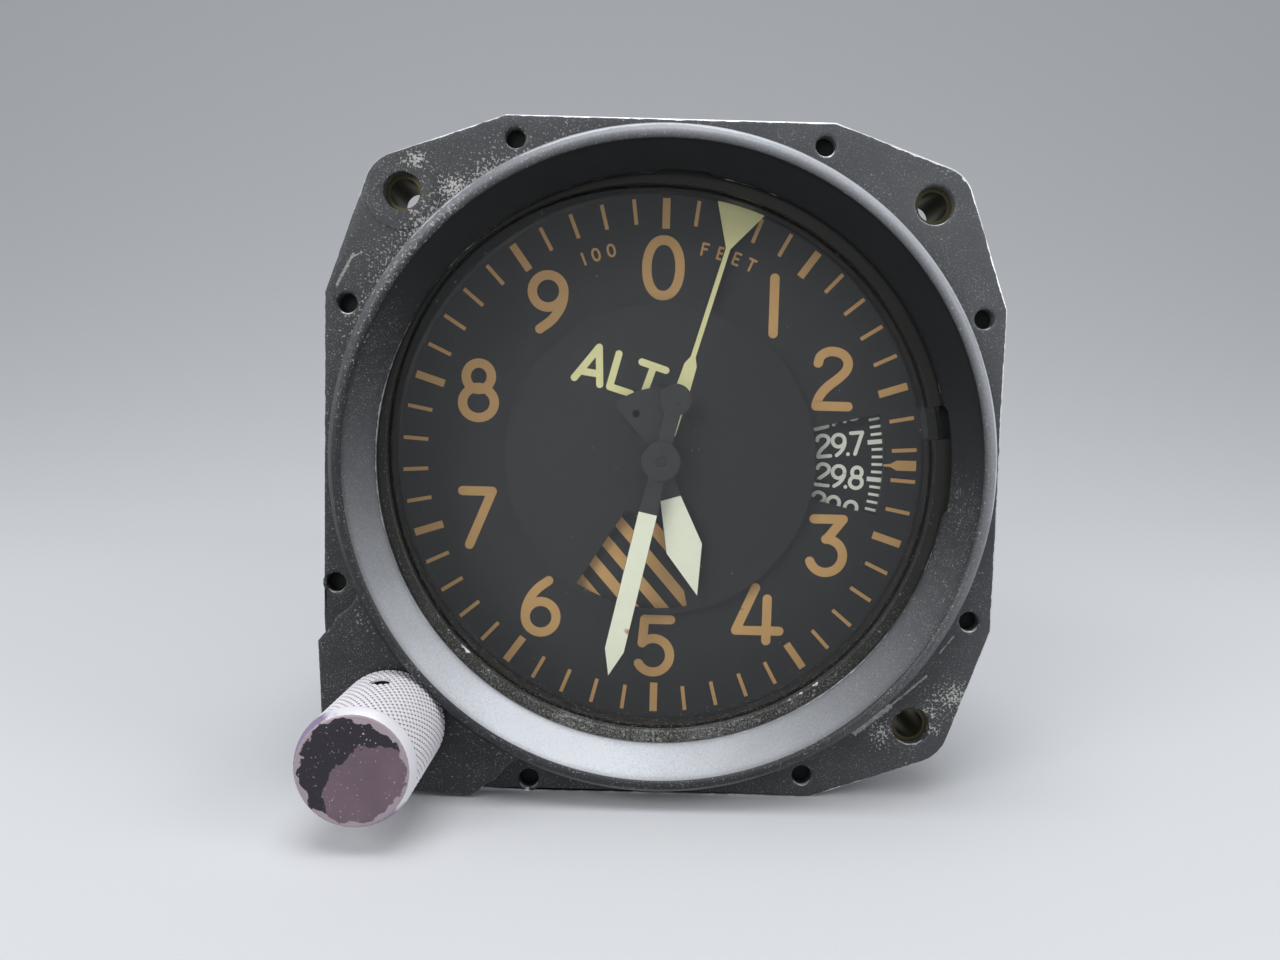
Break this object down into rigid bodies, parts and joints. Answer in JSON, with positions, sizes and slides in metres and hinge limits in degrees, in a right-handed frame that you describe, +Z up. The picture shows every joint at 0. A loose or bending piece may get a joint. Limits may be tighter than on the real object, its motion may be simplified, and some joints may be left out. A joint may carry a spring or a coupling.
{
  "type": "encoding altimeter",
  "caption": "Panel-mounted three-pointer barometric altimeter with an optical altitude encoder, a pressure scale window and a knurled setting knob.",
  "frame": {"origin": "on the dial's axis in the flange's front face, which seats on the back of the panel", "axes": "+Z up, +X to the right of someone who reads the dial, the dial faces -Y"},
  "size_m": [0.0812, 0.1801, 0.0812],
  "materials": {
    "black_paint": "semi-matte black paint, worn to metal at the edges",
    "black_ring": "matte black paint",
    "dial_black": "flat black dial lacquer",
    "pointer_white": "pale lume on black lacquer",
    "glass": "clear glass with a dusty rim",
    "rubber": "black rubber",
    "knob_anodise": "anodise faded from black to purple, worn silver",
    "steel": "bright steel",
    "brass": "plain brass",
    "aluminium": "clear anodised aluminium",
    "bimetal": "nickel and copper alloy strip",
    "ruby": "polished synthetic ruby",
    "plated_shell": "plated steel",
    "black_plastic": "black moulded plastic",
    "code_film": "photographic film disc",
    "board": "green lacquered board"
  },
  "bodies": {
    "housing": {"bezel": "black_paint", "mount_inserts": "brass", "case_shell": "black_paint", "case_screws": "steel", "case_gasket": "rubber", "cover_glass": "glass", "glass_gasket": "rubber", "snap_ring": "black_ring", "spacer_ring": "black_ring", "dial_plate": "dial_black", "rear_cover": "black_paint", "rear_gasket": "rubber", "rear_screws": "steel", "static_port": "aluminium", "connector_shell": "plated_shell", "connector_insert": "black_plastic", "jackposts": "steel", "front_plate": "brass", "frame_screws": "steel", "middle_plate": "brass", "rear_plate": "brass", "plate_pillars": "brass", "jewels": "ruby", "disc_bearing": "brass", "knob_bush": "brass", "shaft_seal": "rubber", "idler_studs": "steel", "hairspring": "steel", "capsule_bracket": "aluminium", "capsule_stack": "bimetal", "light_block": "black_plastic", "sensor_block": "black_plastic", "encoder_board": "board", "board_standoffs": "steel"},
    "knob": {"setting_knob": "knob_anodise", "knob_set_screw": "steel", "knob_shaft": "steel", "setting_pinion": "brass"},
    "idler_1": {"idler_gear_1": "brass"},
    "idler_2": {"idler_gear_2": "brass"},
    "baro_scale": {"baro_disc": "dial_black", "setting_wheel": "brass"},
    "centre_arbor": {"main_arbor": "steel", "cannon_pinion": "steel"},
    "intermediate": {"intermediate_arbor": "steel", "intermediate_wheel": "brass"},
    "rocker": {"rocking_shaft": "steel", "sector_gear": "brass", "rocker_arm_strip": "bimetal"},
    "capsule_top": {"capsule_stud": "steel", "link": "steel"},
    "encoder": {"encoder_arbor": "steel", "encoder_disc": "code_film"},
    "motion_a": {"motion_set_a": "brass"},
    "motion_b": {"motion_set_b": "brass"},
    "thousands_pipe": {"pipe_1000": "brass"},
    "ten_thousands_pipe": {"pipe_10000": "brass"},
    "hand_100": {"pointer_100": "pointer_white"},
    "hand_1000": {"pointer_1000": "pointer_white"},
    "hand_10000": {"pointer_10000": "dial_black"}
  },
  "joints": [
    {"name": "altitude", "type": "hinge", "parent": "housing", "child": "centre_arbor", "pos_m": [0, 0.045, 0], "axis": [0, 1, 0], "range_deg": [-1992.24, 5567.76]},
    {"name": "baro_knob", "type": "hinge", "parent": "housing", "child": "knob", "pos_m": [-0.03147, 0, -0.03147], "axis": [0, 1, 0], "range_deg": [-809.25, 604.5]},
    {"name": "idler_1_spin", "type": "hinge", "parent": "housing", "child": "idler_1", "pos_m": [-0.0244, 0.016, -0.0244], "axis": [0, 1, 0], "range_deg": [-407.05, 544.91]},
    {"name": "idler_2_spin", "type": "hinge", "parent": "housing", "child": "idler_2", "pos_m": [-0.01697, 0.016, -0.01697], "axis": [0, 1, 0], "range_deg": [-726.55, 542.73]},
    {"name": "baro_scale_turn", "type": "hinge", "parent": "housing", "child": "baro_scale", "pos_m": [0, 0.0148, 0], "axis": [0, 1, 0], "range_deg": [-125.26, 167.68]},
    {"name": "intermediate_spin", "type": "hinge", "parent": "housing", "child": "intermediate", "pos_m": [0.01647, 0.041, -0.0048], "axis": [0, 1, 0], "range_deg": [-468.64, 167.7]},
    {"name": "rocker_swing", "type": "hinge", "parent": "housing", "child": "rocker", "pos_m": [0.006, 0.08, 0.012], "axis": [0, 1, 0], "range_deg": [-12, 33.49]},
    {"name": "encoder_turn", "type": "hinge", "parent": "housing", "child": "encoder", "pos_m": [0.0045, 0.066, -0.01104], "axis": [0, 1, 0], "range_deg": [-83.86, 234.33]},
    {"name": "motion_a_spin", "type": "hinge", "parent": "housing", "child": "motion_a", "pos_m": [0.0104, 0.026, 0], "axis": [0, 1, 0], "range_deg": [-1687.05, 603.67]},
    {"name": "pipe_1000_turn", "type": "hinge", "parent": "housing", "child": "thousands_pipe", "pos_m": [0, 0.02, 0], "axis": [0, 1, 0], "range_deg": [-201.24, 562.36]},
    {"name": "motion_b_spin", "type": "hinge", "parent": "housing", "child": "motion_b", "pos_m": [-0.0104, 0.024, 0], "axis": [0, 1, 0], "range_deg": [-168.72, 60.38]},
    {"name": "pipe_10000_turn", "type": "hinge", "parent": "housing", "child": "ten_thousands_pipe", "pos_m": [0, 0.016, 0], "axis": [0, 1, 0], "range_deg": [-20.14, 56.25]},
    {"name": "hand_100_shift", "type": "hinge", "parent": "centre_arbor", "child": "hand_100", "pos_m": [0, 0.008, 0], "axis": [0, 1, 0], "range_deg": [-603.6, 450.88]},
    {"name": "hand_1000_shift", "type": "hinge", "parent": "thousands_pipe", "child": "hand_1000", "pos_m": [0, 0.01, 0], "axis": [0, 1, 0], "range_deg": [-60.38, 45.11]},
    {"name": "hand_10000_shift", "type": "hinge", "parent": "ten_thousands_pipe", "child": "hand_10000", "pos_m": [0, 0.012, 0], "axis": [0, 1, 0], "range_deg": [-6.06, 4.53]},
    {"name": "capsule_travel", "type": "slide", "parent": "housing", "child": "capsule_top", "axis": [0, 0, 1], "range_m": [-0.00122, 0.00341], "deforming": ["capsule_stack"]}
  ],
  "couplings": [
    {"joint": "altitude", "follows": "capsule_travel", "rad_per_m": 28475},
    {"joint": "idler_1_spin", "follows": "baro_knob", "ratio": -0.66667},
    {"joint": "idler_2_spin", "follows": "baro_knob", "ratio": 0.88889},
    {"joint": "baro_scale_turn", "follows": "baro_knob", "ratio": -0.20513},
    {"joint": "intermediate_spin", "follows": "capsule_travel", "rad_per_m": -2372.9},
    {"joint": "rocker_swing", "follows": "capsule_travel", "rad_per_m": 169.49},
    {"joint": "encoder_turn", "follows": "capsule_travel", "rad_per_m": 1186.4},
    {"joint": "motion_a_spin", "follows": "capsule_travel", "rad_per_m": -8542.4},
    {"joint": "pipe_1000_turn", "follows": "capsule_travel", "rad_per_m": 2847.5},
    {"joint": "motion_b_spin", "follows": "capsule_travel", "rad_per_m": -854.24},
    {"joint": "pipe_10000_turn", "follows": "capsule_travel", "rad_per_m": 284.75},
    {"joint": "hand_100_shift", "follows": "baro_knob", "ratio": 0.73846},
    {"joint": "hand_1000_shift", "follows": "baro_knob", "ratio": 0.073846},
    {"joint": "hand_10000_shift", "follows": "baro_knob", "ratio": 0.0073846}
  ]
}
